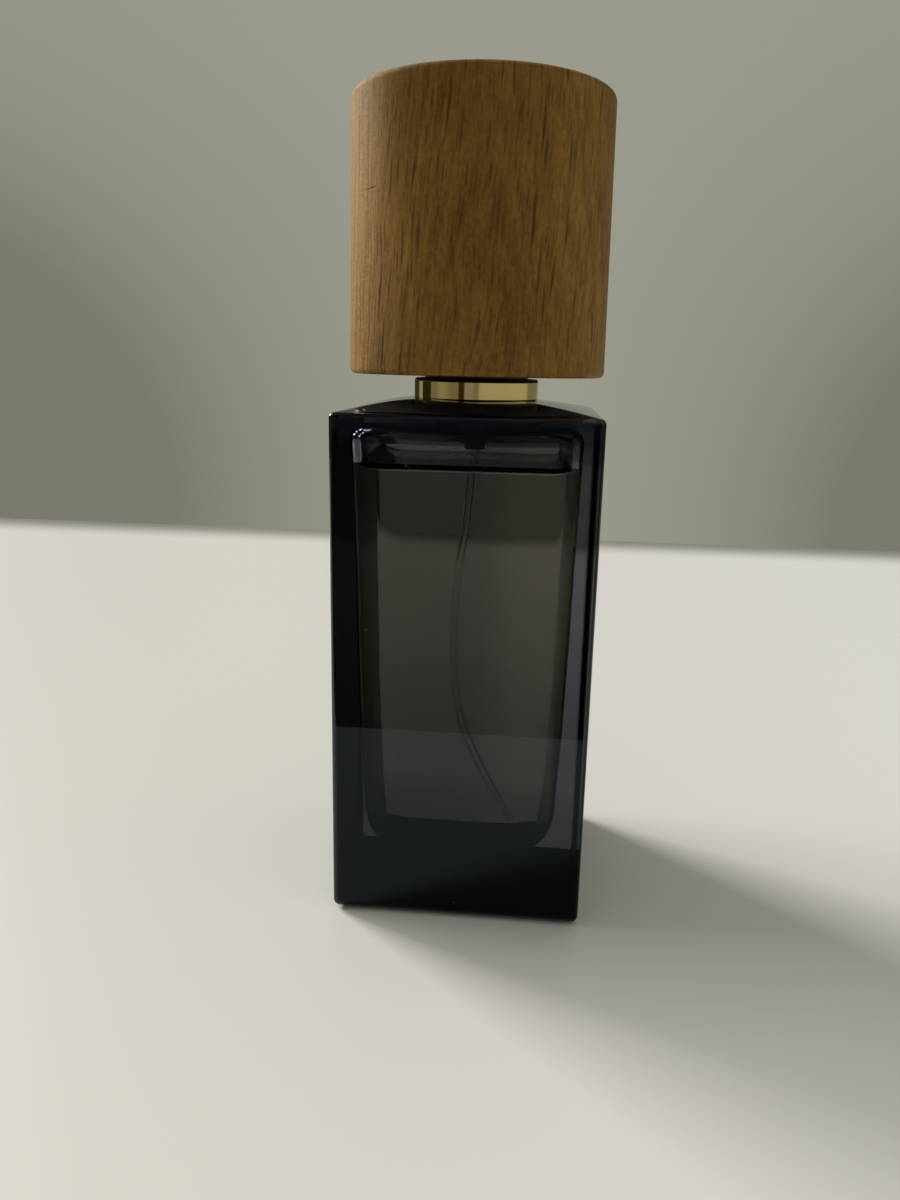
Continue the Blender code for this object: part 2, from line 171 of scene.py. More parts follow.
# ================================================================ materials
def lacquered_glass():
    """Clear glass under a translucent dark lacquer. The tint is on the surface, so light inside that
    meets the lacquer at a shallow angle is soaked up instead of thrown back."""
    mat, t, shader, out = new_material("lacquered_glass")
    p = millimetres(t)
    drift = noise(t, p, 0.05, 2.0)
    shader.inputs["Transmission Weight"].default_value = 1.0
    shader.inputs["IOR"].default_value = 1.5
    at = add(t, "ShaderNodeSeparateXYZ", {0: p}).outputs
    tint = blend(t, drift, (0.071, 0.0695, 0.085), (0.093, 0.0915, 0.111))
    # The lacquer's depth changes over the bottle: darker towards the foot and towards the top, near black at the
    # vertical corners, lighter towards the right, and darker again at the top right. This is partly the lacquer's own
    # unevenness and partly painted light and shade, set to how the light falls.
    tint = blend(t, step(t, at["Z"], 72.6, 74.6), tint, (0.82, 0.86, 0.96), "MULTIPLY")
    coat_and_painted_shade = calc(t, "MULTIPLY", calc(t, "MULTIPLY", step(t, at["Z"], 22.0, 60.0, 0.52, 1.0),
                                    step(t, at["Z"], 7.0, 13.0, 0.5, 1.0)),
                calc(t, "MULTIPLY", step(t, at["Z"], 77.4, 79.2, 1.0, 0.25),
                     step(t, at["Z"], 80.2, 80.8, 1.0, 1.7)))
    rim = calc(t, "MINIMUM", calc(t, "ABSOLUTE", at["X"]), calc(t, "ABSOLUTE", at["Y"]))
    outer = calc(t, "MAXIMUM", calc(t, "ABSOLUTE", at["X"]), calc(t, "ABSOLUTE", at["Y"]))
    coat_and_painted_shade = calc(t, "MULTIPLY", coat_and_painted_shade, step(t, rim, 19.2, 19.65, 1.0, 0.08))
    coat_and_painted_shade = calc(t, "MULTIPLY", coat_and_painted_shade, calc(t, "MULTIPLY", step(t, at["X"], -14.0, -8.0, 1.06, 0.98),
                                          step(t, at["X"], 0.0, 10.0, 1.0, 1.36)))
    head = calc(t, "MULTIPLY", step(t, at["Z"], 73.0, 74.4), step(t, at["X"], -4.0, 6.0, 0.0, 0.56))
    coat_and_painted_shade = calc(t, "MULTIPLY", coat_and_painted_shade, calc(t, "SUBTRACT", 1.0, head))
    wire(t, vec(t, "SCALE", tint, scale=coat_and_painted_shade), shader.inputs["Base Color"])
    smear = noise(t, vec(t, "MULTIPLY", p, (0.06, 0.06, 0.025)), 1.0, 3.0)
    wire(t, step(t, smear, 0.35, 0.75, 0.004, 0.02), shader.inputs["Roughness"])

    # painted highlight: the ground edges on the left and along the top of the shoulder get a white specular tint, so
    # they glint more than the faces
    painted_edge_glint = calc(t, "MAXIMUM",
                 calc(t, "MULTIPLY", step(t, rim, 18.95, 19.3), step(t, at["X"], 0.0, -8.0)),
                 calc(t, "MULTIPLY", step(t, at["Z"], 79.45, 79.7), step(t, at["Z"], 80.36, 80.22, 0.0, 1.0)))
    # painted shade: below a line rising to the right, near the foot, the reflections are dimmed, standing in for the
    # table's shadow seen in the glass
    under_painted_shadow = calc(t, "SUBTRACT", calc(t, "MULTIPLY_ADD", at["X"], 0.36, 6.7), at["Z"])
    gloss = vec(t, "SCALE", (0.345, 0.45, 0.52), scale=step(t, under_painted_shadow, -3.0, 4.0, 1.0, 0.45))
    wire(t, blend(t, painted_edge_glint, gloss, (1.0, 1.0, 1.0)), shader.inputs["Specular Tint"])

    inside = calc(t, "MULTIPLY", add(t, "ShaderNodeNewGeometry").outputs["Backfacing"],
                  add(t, "ShaderNodeFresnel", {"IOR": 1.8}).outputs["Fac"])
    inside = calc(t, "MULTIPLY", inside, calc(t, "MULTIPLY", step(t, at["Z"], 5.0, 13.0, 0.99, 0.91),
                                              step(t, at["X"], 19.6, 19.9, 1.0, 0.80)))
    soak = add(t, "ShaderNodeBsdfDiffuse", {"Color": (0.002, 0.002, 0.0025, 1.0)})
    body = add(t, "ShaderNodeMixShader", {0: inside, 1: shader.outputs["BSDF"],
                                          2: soak.outputs["BSDF"]})

    grains = cells(t, p, 0.42)
    dot = step(t, grains.outputs["Distance"], 0.020, 0.034, 1.0, 0.0)
    kept = step(t, add(t, "ShaderNodeSeparateColor", {0: grains.outputs["Color"]}).outputs[0],
                0.86, 0.90)
    dust = calc(t, "MULTIPLY", dot, kept)
    specks = step(t, noise(t, p, 3.6, 3.0, 0.7), 0.55, 0.72, 0.03, 0.26)
    dust = calc(t, "MAXIMUM", dust, calc(t, "MULTIPLY", specks, calc(
        t, "MULTIPLY", step(t, at["Z"], 80.3, 80.5), step(t, outer, 11.5, 16.0))))
    fluff = add(t, "ShaderNodeBsdfDiffuse", {"Color": (0.42, 0.42, 0.40, 1.0)})
    dusty = add(t, "ShaderNodeMixShader", {0: dust, 1: body.outputs[0], 2: fluff.outputs["BSDF"]})
    t.links.new(dusty.outputs[0], out.inputs["Surface"])
    return mat


def clear_glass(name, bend):
    """The bare inside of the bottle, faintly uneven as pressed glass is."""
    mat, t, shader, out = new_material(name)
    p = millimetres(t)
    shader.inputs["Transmission Weight"].default_value = 1.0
    shader.inputs["IOR"].default_value = bend
    wire(t, blend(t, noise(t, p, 0.08), (0.97, 0.975, 0.97), (1.0, 1.0, 1.0)),
         shader.inputs["Base Color"])
    shader.inputs["Roughness"].default_value = 0.0
    wire(t, bump(t, noise(t, p, 0.11, 1.0), 0.0004, 0.05), shader.inputs["Normal"])
    return mat


def aftershave(name, bend):
    """Pale straw liquid. Where it wets the glass the bend of light belongs to the glass."""
    mat, t, shader, out = new_material(name)
    p = millimetres(t)
    shader.inputs["Transmission Weight"].default_value = 1.0
    shader.inputs["IOR"].default_value = bend
    shader.inputs["Roughness"].default_value = 0.0
    wire(t, blend(t, noise(t, p, 0.05), (0.92, 0.91, 0.665), (0.96, 0.95, 0.705)),
         shader.inputs["Base Color"])
    return mat


def tube_plastic():
    """Clear tubing that lies in the liquid, so it bends light only a little."""
    mat, t, shader, out = new_material("clear_tube")
    p = millimetres(t)
    shader.inputs["Transmission Weight"].default_value = 1.0
    shader.inputs["IOR"].default_value = 1.22
    clear = blend(t, noise(t, vec(t, "MULTIPLY", p, (2.0, 2.0, 0.2)), 1.0), (0.96, 0.965, 0.96), (1.0, 1.0, 1.0))
    # painted shade: the tube's colour darkens towards its outline as seen
    painted_outline_shade = step(t, add(t, "ShaderNodeLayerWeight", {"Blend": 0.5}).outputs["Facing"], 0.28, 0.60)
    wire(t, blend(t, painted_outline_shade, clear, (0.56, 0.56, 0.54)), shader.inputs["Base Color"])
    shader.inputs["Roughness"].default_value = 0.0
    return mat


def moulded(name, dark, light, rough, grain=0.000012, metallic=0.0, scatter=0.0):
    """Moulded plastic or rubber: a fine skin texture with faint flow marks along the part."""
    mat, t, shader, out = new_material(name)
    p = millimetres(t)
    flow = noise(t, vec(t, "MULTIPLY", p, (0.5, 0.5, 0.12)), 1.0, 3.0)
    wire(t, blend(t, flow, dark, light), shader.inputs["Base Color"])
    fine = noise(t, p, 9.0, 2.0, 0.6)
    wire(t, calc(t, "ADD", step(t, flow, 0.3, 0.7, rough - 0.05, rough + 0.04),
                 calc(t, "MULTIPLY", fine, 0.06)), shader.inputs["Roughness"])
    wire(t, bump(t, fine, grain, 0.6), shader.inputs["Normal"])
    shader.inputs["Metallic"].default_value = metallic
    if scatter:
        shader.inputs["Subsurface Weight"].default_value = scatter
        shader.inputs["Subsurface Scale"].default_value = 0.0012
    return mat


def turned_metal(name, dark, light, rough, spread, marks=0.0000012):
    """Polished sheet metal with faint round-and-round polishing lines and hairline scratches."""
    mat, t, shader, out = new_material(name)
    p = millimetres(t)
    parts = add(t, "ShaderNodeSeparateXYZ", {0: p})
    round_r = vec(t, "LENGTH", vec(t, "MULTIPLY", p, (1.0, 1.0, 0.0)))
    line = add(t, "ShaderNodeCombineXYZ", {"X": calc(t, "MULTIPLY", round_r, 14.0),
                                           "Y": 0.0,
                                           "Z": calc(t, "MULTIPLY", parts.outputs["Z"], 14.0)})
    rings = noise(t, line.outputs[0], 1.0, 3.0, 0.6)
    cloud = noise(t, p, 0.35, 2.0)
    wire(t, blend(t, cloud, dark, light), shader.inputs["Base Color"])
    shader.inputs["Metallic"].default_value = 1.0
    wire(t, calc(t, "ADD", step(t, cloud, 0.3, 0.7, rough, rough + spread),
                 calc(t, "MULTIPLY", rings, spread)), shader.inputs["Roughness"])
    hair = noise(t, vec(t, "MULTIPLY", p, (6.0, 1.2, 3.0)), 1.0, 2.0)
    wire(t, bump(t, calc(t, "ADD", rings, calc(t, "MULTIPLY", hair, 0.5)), marks, 1.0),
         shader.inputs["Normal"])
    return mat


def oak():
    """Oiled oak turned from one block. Growth rings give steep arches on the front, open pores show as
    long dark streaks down the sides, and as dots where the grain runs out at the ends."""
    mat, t, shader, out = new_material("oak")
    p = millimetres(t)
    at = add(t, "ShaderNodeSeparateXYZ", {0: p}).outputs
    turn = calc(t, "MULTIPLY", calc(t, "ARCTAN2", at["X"], calc(t, "MULTIPLY", at["Y"], -1.0)), 20.1)
    end = calc(t, "ADD", step(t, at["Z"], 126.05, 126.28), step(t, at["Z"], 85.75, 85.62, 0.0, 1.0))

    # the left side is cut along the rays: straight fine lines and hardly any open pores
    rift = calc(t, "MULTIPLY", step(t, turn, -12.0, -18.5), step(t, turn, -52.0, -42.0))
    open_grain = calc(t, "MULTIPLY_ADD", rift, -0.80, 1.0)

    # the fibres lean to the right on their way up, and wander a little
    lean = calc(t, "MULTIPLY", calc(t, "MULTIPLY_ADD", rift, -0.06, 0.075),
                calc(t, "SUBTRACT", at["Z"], 104.0))
    wander = noise(t, point(t, calc(t, "MULTIPLY", turn, 0.06), calc(t, "MULTIPLY", at["Z"], 0.045)),
                   1.0, 2.0)
    across = calc(t, "MULTIPLY_ADD", calc(t, "SUBTRACT", wander, 0.5), 2.6,
                  calc(t, "SUBTRACT", turn, lean))

    def streaks(width, length, size, share, seed):
        """Long soft spindles, one in each kept cell."""
        c = cells(t, point(t, calc(t, "MULTIPLY_ADD", across, 1.0 / width, seed),
                           calc(t, "MULTIPLY_ADD", at["Z"], 1.0 / length, seed * 1.7)), 1.0, True)
        pick = add(t, "ShaderNodeSeparateColor", {0: c.outputs["Color"]}).outputs
        wide = calc(t, "MULTIPLY_ADD", pick[1], size * 0.7, size * 0.55)
        core = calc(t, "SUBTRACT", 1.0, calc(t, "DIVIDE", c.outputs["Distance"], wide), clamp=True)
        keep = calc(t, "MULTIPLY", step(t, pick[0], 1.0 - share, 1.04 - share),
                    calc(t, "MULTIPLY_ADD", pick[2], 0.6, 0.4))
        return calc(t, "MULTIPLY", step(t, core, 0.0, 0.7), keep)

    # growth rings: arches on the front, steeper on their left, and arcs on the ends
    slack = noise(t, vec(t, "MULTIPLY", p, (0.10, 0.10, 0.05)), 1.0, 1.0)
    off = calc(t, "MULTIPLY_ADD", calc(t, "SUBTRACT", slack, 0.5), 8.0, calc(t, "SUBTRACT", turn, 1.0))
    arm = calc(t, "MAXIMUM", off, calc(t, "MULTIPLY", off, -1.4))
    arm = calc(t, "SQRT", calc(t, "MULTIPLY_ADD", arm, arm, 9.0))
    rise = calc(t, "MULTIPLY", calc(t, "SUBTRACT", at["Z"], 113.0),
                step(t, calc(t, "ABSOLUTE", turn), 18.0, 34.0, 0.31, 0.03))
    arches = calc(t, "ADD", arm, rise)
    arcs = vec(t, "LENGTH", point(t, calc(t, "ADD", at["X"], 6.0), calc(t, "SUBTRACT", at["Y"], 47.0)))
    field = calc(t, "ADD", calc(t, "MULTIPLY", arches, calc(t, "SUBTRACT", 1.0, end)),
                 calc(t, "MULTIPLY", arcs, end))
    ring = calc(t, "FRACT", calc(t, "MULTIPLY_ADD", slack, 1.2, calc(t, "DIVIDE", field, 3.6)))
    early = calc(t, "MULTIPLY", step(t, ring, 0.0, 0.16), step(t, ring, 0.80, 0.25, 0.0, 1.0))

    patch = noise(t, vec(t, "MULTIPLY", p, (0.14, 0.14, 0.035)), 1.0, 1.0)
    crowd = calc(t, "MULTIPLY_ADD", early, 0.22, step(t, patch, 0.34, 0.62, 0.46, 0.92))
    pores = calc(t, "MAXIMUM", streaks(1.25, 19.0, 0.27, 0.66, 3.7),
                 calc(t, "MAXIMUM", calc(t, "MULTIPLY", streaks(0.85, 11.0, 0.30, 0.66, 11.3), 0.85),
                      calc(t, "MULTIPLY", streaks(0.50, 5.5, 0.34, 0.60, 23.9), 0.52)))
    pores = calc(t, "MULTIPLY", calc(t, "MULTIPLY", pores, crowd), open_grain)

    # end grain on the top and the foot
    dots = cells(t, vec(t, "MULTIPLY", p, (1.0, 1.0, 0.0)), 1.9)
    dot = calc(t, "MULTIPLY", step(t, dots.outputs["Distance"], 0.30, 0.16, 0.0, 1.0),
               calc(t, "MULTIPLY_ADD", early, 0.8, 0.1))
    dark = blend(t, end, pores, dot)

    # a small nick and a short check on the left
    beside = calc(t, "ADD", turn, 16.8)
    above = calc(t, "SUBTRACT", calc(t, "SUBTRACT", at["Z"], 111.35), calc(t, "MULTIPLY", beside, 0.06))
    nick = calc(t, "MULTIPLY", step(t, calc(t, "ABSOLUTE", above), 0.05, 0.17, 1.0, 0.0),
                step(t, calc(t, "ABSOLUTE", beside), 0.9, 1.7, 1.0, 0.0))
    check = calc(t, "MULTIPLY", step(t, calc(t, "ABSOLUTE", calc(t, "ADD", turn, 18.65)), 0.03, 0.15, 1.0, 0.0),
                 step(t, at["Z"], 86.6, 89.2, 1.0, 0.0))
    dark = calc(t, "MAXIMUM", dark, calc(t, "MULTIPLY", calc(t, "MAXIMUM", nick, check), 0.75))

    # fibres, cross ripple and slow stains
    fibre = noise(t, point(t, calc(t, "MULTIPLY", across, 2.4), calc(t, "MULTIPLY", at["Z"], 0.10)),
                  1.0, 3.0, 0.6)
    lines = noise(t, point(t, calc(t, "MULTIPLY", across, 3.2), calc(t, "MULTIPLY", at["Z"], 0.03)),
                  1.0, 1.0)
    ripple = noise(t, point(t, calc(t, "MULTIPLY", across, 0.7), calc(t, "MULTIPLY", at["Z"], 3.0)),
                   1.0, 2.0)
    mottle = noise(t, vec(t, "MULTIPLY", p, (1.7, 1.7, 0.75)), 1.0, 4.0, 0.66)
    stain = noise(t, vec(t, "MULTIPLY", p, (0.13, 0.13, 0.05)), 1.0, 1.0)
    along = calc(t, "MULTIPLY_ADD", end, -0.85, 1.0)
    tone = calc(t, "MULTIPLY", calc(t, "MULTIPLY", calc(t, "SUBTRACT", fibre, 0.5), 0.9), along)
    tone = calc(t, "MULTIPLY_ADD", calc(t, "SUBTRACT", mottle, 0.5), 1.55, tone)
    tone = calc(t, "MULTIPLY_ADD", calc(t, "SUBTRACT", stain, 0.5), 0.95, tone)
    tone = calc(t, "MULTIPLY_ADD", early, -0.13, tone)
    late = calc(t, "MULTIPLY", step(t, calc(t, "ABSOLUTE", calc(t, "SUBTRACT", ring, 0.90)), 0.07, 0.02, 0.0, 1.0),
                step(t, patch, 0.40, 0.58))
    tone = calc(t, "MULTIPLY_ADD", late, 0.10, tone)
    fine = calc(t, "ADD", calc(t, "MULTIPLY", calc(t, "SUBTRACT", lines, 0.5), 1.5),
                calc(t, "MULTIPLY", calc(t, "SUBTRACT", ripple, 0.5), 1.0))
    tone = calc(t, "MULTIPLY_ADD", fine, calc(t, "MULTIPLY", calc(t, "MULTIPLY_ADD", rift, 0.85, 0.20), along), tone)
    tone = calc(t, "ADD", tone, 0.53, clamp=True)
    base = blend(t, tone, (0.138, 0.059, 0.0078), (0.292, 0.141, 0.0240))
    warm = step(t, noise(t, point(t, calc(t, "MULTIPLY", across, 0.35),
                                  calc(t, "MULTIPLY", at["Z"], 0.03)), 1.0, 1.0), 0.60, 0.74)
    base = blend(t, calc(t, "MULTIPLY", warm, 0.30), base, (0.225, 0.083, 0.0100))
    # painted light: the left side, which faces the lamp, is painted lighter, and the darker bands at top and bottom
    # are lifted there
    painted_light_side = step(t, turn, -12.0, -24.0)
    foot = step(t, at["Z"], 85.75, 85.62)
    base = vec(t, "SCALE", base, scale=calc(t, "MULTIPLY", calc(t, "MULTIPLY_ADD", painted_light_side, 0.40, 1.0),
                                            calc(t, "MULTIPLY", calc(t, "MULTIPLY_ADD", end, -0.35, 1.0),
                                                 calc(t, "MULTIPLY_ADD", foot, -0.45, 1.0))))
    shade = calc(t, "MULTIPLY", step(t, at["Z"], 112.0, 122.0, 1.0, 0.88),
                 step(t, at["Z"], 89.0, 97.0, 0.95, 1.0))
    shade = calc(t, "MULTIPLY_ADD", painted_light_side, calc(t, "SUBTRACT", 1.08, shade), shade)
    # painted light and shade: on the front the oak is kept darker and redder and the sides paler and greyer, bluest
    # towards the lit left; further round and on the top it takes the oak's own colour
    painted_light_tint = blend(t, step(t, calc(t, "ABSOLUTE", calc(t, "SUBTRACT", turn, 1.0)), 3.0, 17.0),
                 (0.94, 0.97, 1.20), (1.22, 1.42, 1.84))
    painted_light_tint = blend(t, step(t, turn, -6.0, -13.0), painted_light_tint, (1.0, 1.02, 1.16), "MULTIPLY")
    base = blend(t, 1.0, base, vec(t, "SCALE", painted_light_tint, scale=shade), "MULTIPLY")
    natural = vec(t, "SCALE", blend(t, tone, (0.215, 0.132, 0.054), (0.345, 0.226, 0.106)),
                  scale=calc(t, "MULTIPLY_ADD", end, -0.35, 1.0))
    away = calc(t, "MAXIMUM", calc(t, "MAXIMUM", step(t, turn, 17.0, 42.0), step(t, turn, -14.0, -34.0)),
                step(t, at["Z"], 126.05, 126.28))
    base = blend(t, calc(t, "MULTIPLY", calc(t, "MULTIPLY", away, calc(t, "SUBTRACT", 1.0, foot)), 0.9), base, natural)
    # painted highlight: a lighter band along the top rim
    painted_rim_highlight = calc(t, "MULTIPLY", step(t, at["Z"], 125.7, 126.1), calc(t, "SUBTRACT", 1.0, end))
    base = vec(t, "SCALE", base, scale=calc(t, "MULTIPLY_ADD", painted_rim_highlight, 0.75, 1.0))
    base = blend(t, calc(t, "MULTIPLY", dark, 0.86), base, (0.066, 0.0245, 0.0032))
    wire(t, base, shader.inputs["Base Color"])

    wire(t, calc(t, "ADD", calc(t, "MULTIPLY", dark, 0.15),
                 calc(t, "MULTIPLY_ADD", fibre, 0.16, 0.54)), shader.inputs["Roughness"])
    shader.inputs["Specular IOR Level"].default_value = 0.12
    height = calc(t, "MULTIPLY_ADD", dark, -1.0, calc(t, "MULTIPLY", fibre, 0.35))
    height = calc(t, "MULTIPLY_ADD", fine, calc(t, "MULTIPLY_ADD", rift, 0.22, 0.05), height)
    wire(t, bump(t, height, 0.00010, 0.55), shader.inputs["Normal"])
    return mat


GLASS_OUT = lacquered_glass()
GLASS_IN = clear_glass("clear_glass", 1.5)
GLASS_WET = clear_glass("wetted_glass", 1.5 / 1.36)
LIQUID = aftershave("aftershave", 1.36)
LIQUID_SIDE = aftershave("aftershave_side", 1.001)
TUBE = tube_plastic()
NATURAL = moulded("natural_plastic", (0.62, 0.62, 0.57), (0.74, 0.74, 0.70), 0.36, scatter=0.25)
WHITE = moulded("white_acetal", (0.74, 0.74, 0.71), (0.84, 0.84, 0.82), 0.33, scatter=0.15)
RUBBER = moulded("grey_rubber", (0.035, 0.035, 0.036), (0.060, 0.060, 0.060), 0.72, 0.00003)
BLACK = moulded("black_plastic", (0.0085, 0.0085, 0.009), (0.0135, 0.0135, 0.014), 0.30)
STEEL = turned_metal("spring_steel", (0.50, 0.49, 0.47), (0.63, 0.62, 0.60), 0.16, 0.10)
ALUMINIUM = turned_metal("ferrule_aluminium", (0.74, 0.73, 0.70), (0.86, 0.85, 0.82), 0.16, 0.08)
GOLD = turned_metal("polished_gold", (0.80, 0.655, 0.245), (0.90, 0.75, 0.305), 0.045, 0.025)
OAK = oak()


# ================================================================ mesh helpers
def piece(name, bm, materials, body, node, sharp_deg=38.0, weighted=True):
    """Closes a mesh, gives it its finish, and puts it in place of its solid on its body."""
    bmesh.ops.remove_doubles(bm, verts=bm.verts, dist=2e-8)
    bmesh.ops.recalc_face_normals(bm, faces=bm.faces)
    if bm.calc_volume(signed=True) < 0:
        bmesh.ops.reverse_faces(bm, faces=bm.faces)
    mesh = bpy.data.meshes.new(name)
    bm.to_mesh(mesh)
    bm.free()
    mesh.shade_smooth()
    mesh.set_sharp_from_angle(angle=math.radians(sharp_deg))
    for m in materials if isinstance(materials, (list, tuple)) else [materials]:
        mesh.materials.append(m)
    ob = bpy.data.objects.new(name, mesh)
    bpy.context.scene.collection.objects.link(ob)
    if weighted:
        even = ob.modifiers.new("even_normals", "WEIGHTED_NORMAL")
        even.mode = "FACE_AREA"
        even.weight = 100
        even.keep_sharp = True
    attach(ob, body)
    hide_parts(node)
    return ob


def softened(profile, radius, steps=3):
    """A closed (radius, height) outline with its corners rounded. Points on the axis stay."""
    out = []
    count = len(profile)
    for i in range(count):
        before, here, after = (Vector(profile[(i + k) % count]) for k in (-1, 0, 1))
        if here.x < 1e-6:
            out.append(tuple(here))
            continue
        a, b = before - here, after - here
        la, lb = a.length, b.length
        if la < 1e-6 or lb < 1e-6:
            out.append(tuple(here))
            continue
        a, b = a / la, b / lb
        angle = a.angle(b)
        if angle > math.radians(158.0):
            out.append(tuple(here))
            continue
        back = min(radius / math.tan(angle / 2), 0.42 * la, 0.42 * lb)
        start, end = here + a * back, here + b * back
        for k in range(steps + 1):
            s = k / steps
            out.append(tuple((1 - s) ** 2 * start + 2 * s * (1 - s) * here + s * s * end))
    return out


def turned(profile, segments, shift=None):
    """A closed (radius, height) outline turned about Z. shift(r, z, angle) may move a radius."""
    bm = bmesh.new()
    rows = []
    for r, z in profile:
        if r < 1e-6:
            rows.append([bm.verts.new((0.0, 0.0, z * MM))])
            continue
        row = []
        for k in range(segments):
            a = 2 * math.pi * k / segments
            rr = r if shift is None else shift(r, z, a)
            row.append(bm.verts.new((rr * MM * math.cos(a), rr * MM * math.sin(a), z * MM)))
        rows.append(row)
    for a, b in zip(rows, rows[1:] + rows[:1]):
        if len(a) == 1 and len(b) == 1:
            continue
        for k in range(segments):
            n = (k + 1) % segments
            if len(a) == 1:
                bm.faces.new((a[0], b[k], b[n]))
            elif len(b) == 1:
                bm.faces.new((a[k], a[n], b[0]))
            else:
                bm.faces.new((a[k], a[n], b[n], b[k]))
    return bm


def arc(cr, cz, radius, start_deg, end_deg, steps):
    pts = []
    for k in range(steps + 1):
        a = math.radians(start_deg + (end_deg - start_deg) * k / steps)
        pts.append((cr + radius * math.cos(a), cz + radius * math.sin(a)))
    return pts


CORNER_STEPS, SIDE_STEPS = 8, 15


def ring(half, corner, z, roundness=0.0, radius=0.0, wavy=0.0, lift=0.0, half_x=None, shift=0.0,
         tilt=0.0):
    """A rounded square at height z, drawn towards a circle of that radius by roundness. Its corners
    can stand higher than the middles of its sides, its width can differ from its depth, and its left
    side can stand a little higher."""
    corner = min(corner, half * 0.999)
    flat = []
    for quarter, (sx, sy) in enumerate(((1, 1), (-1, 1), (-1, -1), (1, -1))):
        for k in range(CORNER_STEPS + 1):
            a = math.radians(90.0 * quarter + 90.0 * k / CORNER_STEPS)
            flat.append((sx * (half - corner) + corner * math.cos(a),
                         sy * (half - corner) + corner * math.sin(a)))
        x0, y0 = flat[-1]
        nx, ny = ((-1, 1), (-1, -1), (1, -1), (1, 1))[quarter]
        a = math.radians(90.0 * (quarter + 1))
        x1, y1 = nx * (half - corner) + corner * math.cos(a), ny * (half - corner) + corner * math.sin(a)
        for k in range(1, SIDE_STEPS + 1):
            s = k / (SIDE_STEPS + 1)
            flat.append((x0 + (x1 - x0) * s, y0 + (y1 - y0) * s))
    pts = []
    for x, y in flat:
        if roundness > 0.0:
            d = math.hypot(x, y)
            x = (1 - roundness) * x + roundness * radius * x / d
            y = (1 - roundness) * y + roundness * radius * y / d
        if wavy:
            swell = 0.5 * wavy * (0.05 * math.sin(0.29 * x + 0.15 * z + 0.6)
                            + 0.045 * math.sin(0.25 * y - 0.11 * z + 1.9)) / max(half, 4.0)
            x, y = x * (1 + swell), y * (1 + swell)
        rise = lift * (min(abs(x), abs(y)) / half) ** 2 + tilt * max(0.0, -x / half)
        x = x * (half_x or half) / half + shift
        pts.append(Vector((x * MM, y * MM, (z + rise) * MM)))
    return pts


def loft(rings, low_pole, high_pole, changes=()):
    """Rings of equal count joined in order and closed with a point at each end. The material moves
    on by one at each ring listed in changes."""
    bm = bmesh.new()
    rows = [[bm.verts.new(p) for p in r] for r in rings]
    count = len(rows[0])
    for i, (a, b) in enumerate(zip(rows, rows[1:])):
        for k in range(count):
            n = (k + 1) % count
            face = bm.faces.new((a[k], a[n], b[n], b[k]))
            face.material_index = sum(i >= c for c in changes)
    for pole, row, last in ((low_pole, rows[0], False), (high_pole, rows[-1], True)):
        tip = bm.verts.new(Vector(pole) * MM)
        for k in range(count):
            face = bm.faces.new((row[k], row[(k + 1) % count], tip))
            face.material_index = len(changes) if last else 0
    return bm


def smooth_path(knots, per_span):
    pts = [Vector(p) for p in knots]
    pts = [2 * pts[0] - pts[1]] + pts + [2 * pts[-1] - pts[-2]]
    out = []
    for i in range(1, len(pts) - 2):
        p0, p1, p2, p3 = pts[i - 1:i + 3]
        for k in range(per_span):
            s = k / per_span
            out.append(0.5 * (2 * p1 + (p2 - p0) * s + (2 * p0 - 5 * p1 + 4 * p2 - p3) * s * s
                              + (3 * p1 - p0 - 3 * p2 + p3) * s ** 3))
    out.append(pts[-2])
    return out


def pipe(path, radius, bore, sides):
    """An open-ended tube along a path near the XZ plane."""
    bm = bmesh.new()
    rows = []
    for r in (radius, bore):
        layer = []
        for i, p in enumerate(path):
            along = (path[min(i + 1, len(path) - 1)] - path[max(i - 1, 0)]).normalized()
            normal = Vector((0.0, 1.0, 0.0)).cross(along).normalized()
            side = along.cross(normal).normalized()
            layer.append([bm.verts.new((p + r * (math.cos(2 * math.pi * k / sides) * normal
                                                 + math.sin(2 * math.pi * k / sides) * side)) * MM)
                          for k in range(sides)])
        rows.append(layer)
    rows = rows[0] + rows[1][::-1]
    for a, b in zip(rows, rows[1:] + rows[:1]):
        for k in range(sides):
            n = (k + 1) % sides
            bm.faces.new((a[k], a[n], b[n], b[k]))
    return bm


def coil(mean_r, wire_r, low_z, high_z, turns, per_turn, sides):
    """A compression spring with closed end turns."""
    close, dead = 2 * wire_r + 0.05, 0.8
    rise = (high_z - low_z - 2 * wire_r - 2 * dead * close) / (turns - 2 * dead)

    def height(s):
        if s < dead:
            return close * s
        if s > turns - dead:
            return close * dead + rise * (turns - 2 * dead) + close * (s - turns + dead)
        return close * dead + rise * (s - dead)

    bm = bmesh.new()
    rows = []
    steps = int(turns * per_turn)
    up = Vector((0.0, 0.0, 1.0))
    for i in range(steps + 1):
        s = turns * i / steps
        radial = Vector((math.cos(2 * math.pi * s), math.sin(2 * math.pi * s), 0.0))
        centre = radial * mean_r + up * (low_z + wire_r + height(s))
        rows.append([bm.verts.new((centre + wire_r * (math.cos(2 * math.pi * k / sides) * radial
                                                      + math.sin(2 * math.pi * k / sides) * up)) * MM)
                     for k in range(sides)])
    for a, b in zip(rows, rows[1:]):
        for k in range(sides):
            n = (k + 1) % sides
            bm.faces.new((a[k], a[n], b[n], b[k]))
    bm.faces.new(rows[0])
    bm.faces.new(rows[-1])
    return bm


def rod_along_y(radius, y0, y1, z, segments):
    bm = bmesh.new()
    ends = [[bm.verts.new((radius * MM * math.cos(2 * math.pi * k / segments), y * MM,
                           (z + radius * math.sin(2 * math.pi * k / segments)) * MM))
             for k in range(segments)] for y in (y0, y1)]
    for k in range(segments):
        n = (k + 1) % segments
        bm.faces.new((ends[0][k], ends[0][n], ends[1][n], ends[1][k]))
    bm.faces.new(ends[0])
    bm.faces.new(ends[1])
    bmesh.ops.recalc_face_normals(bm, faces=bm.faces)
    return bm


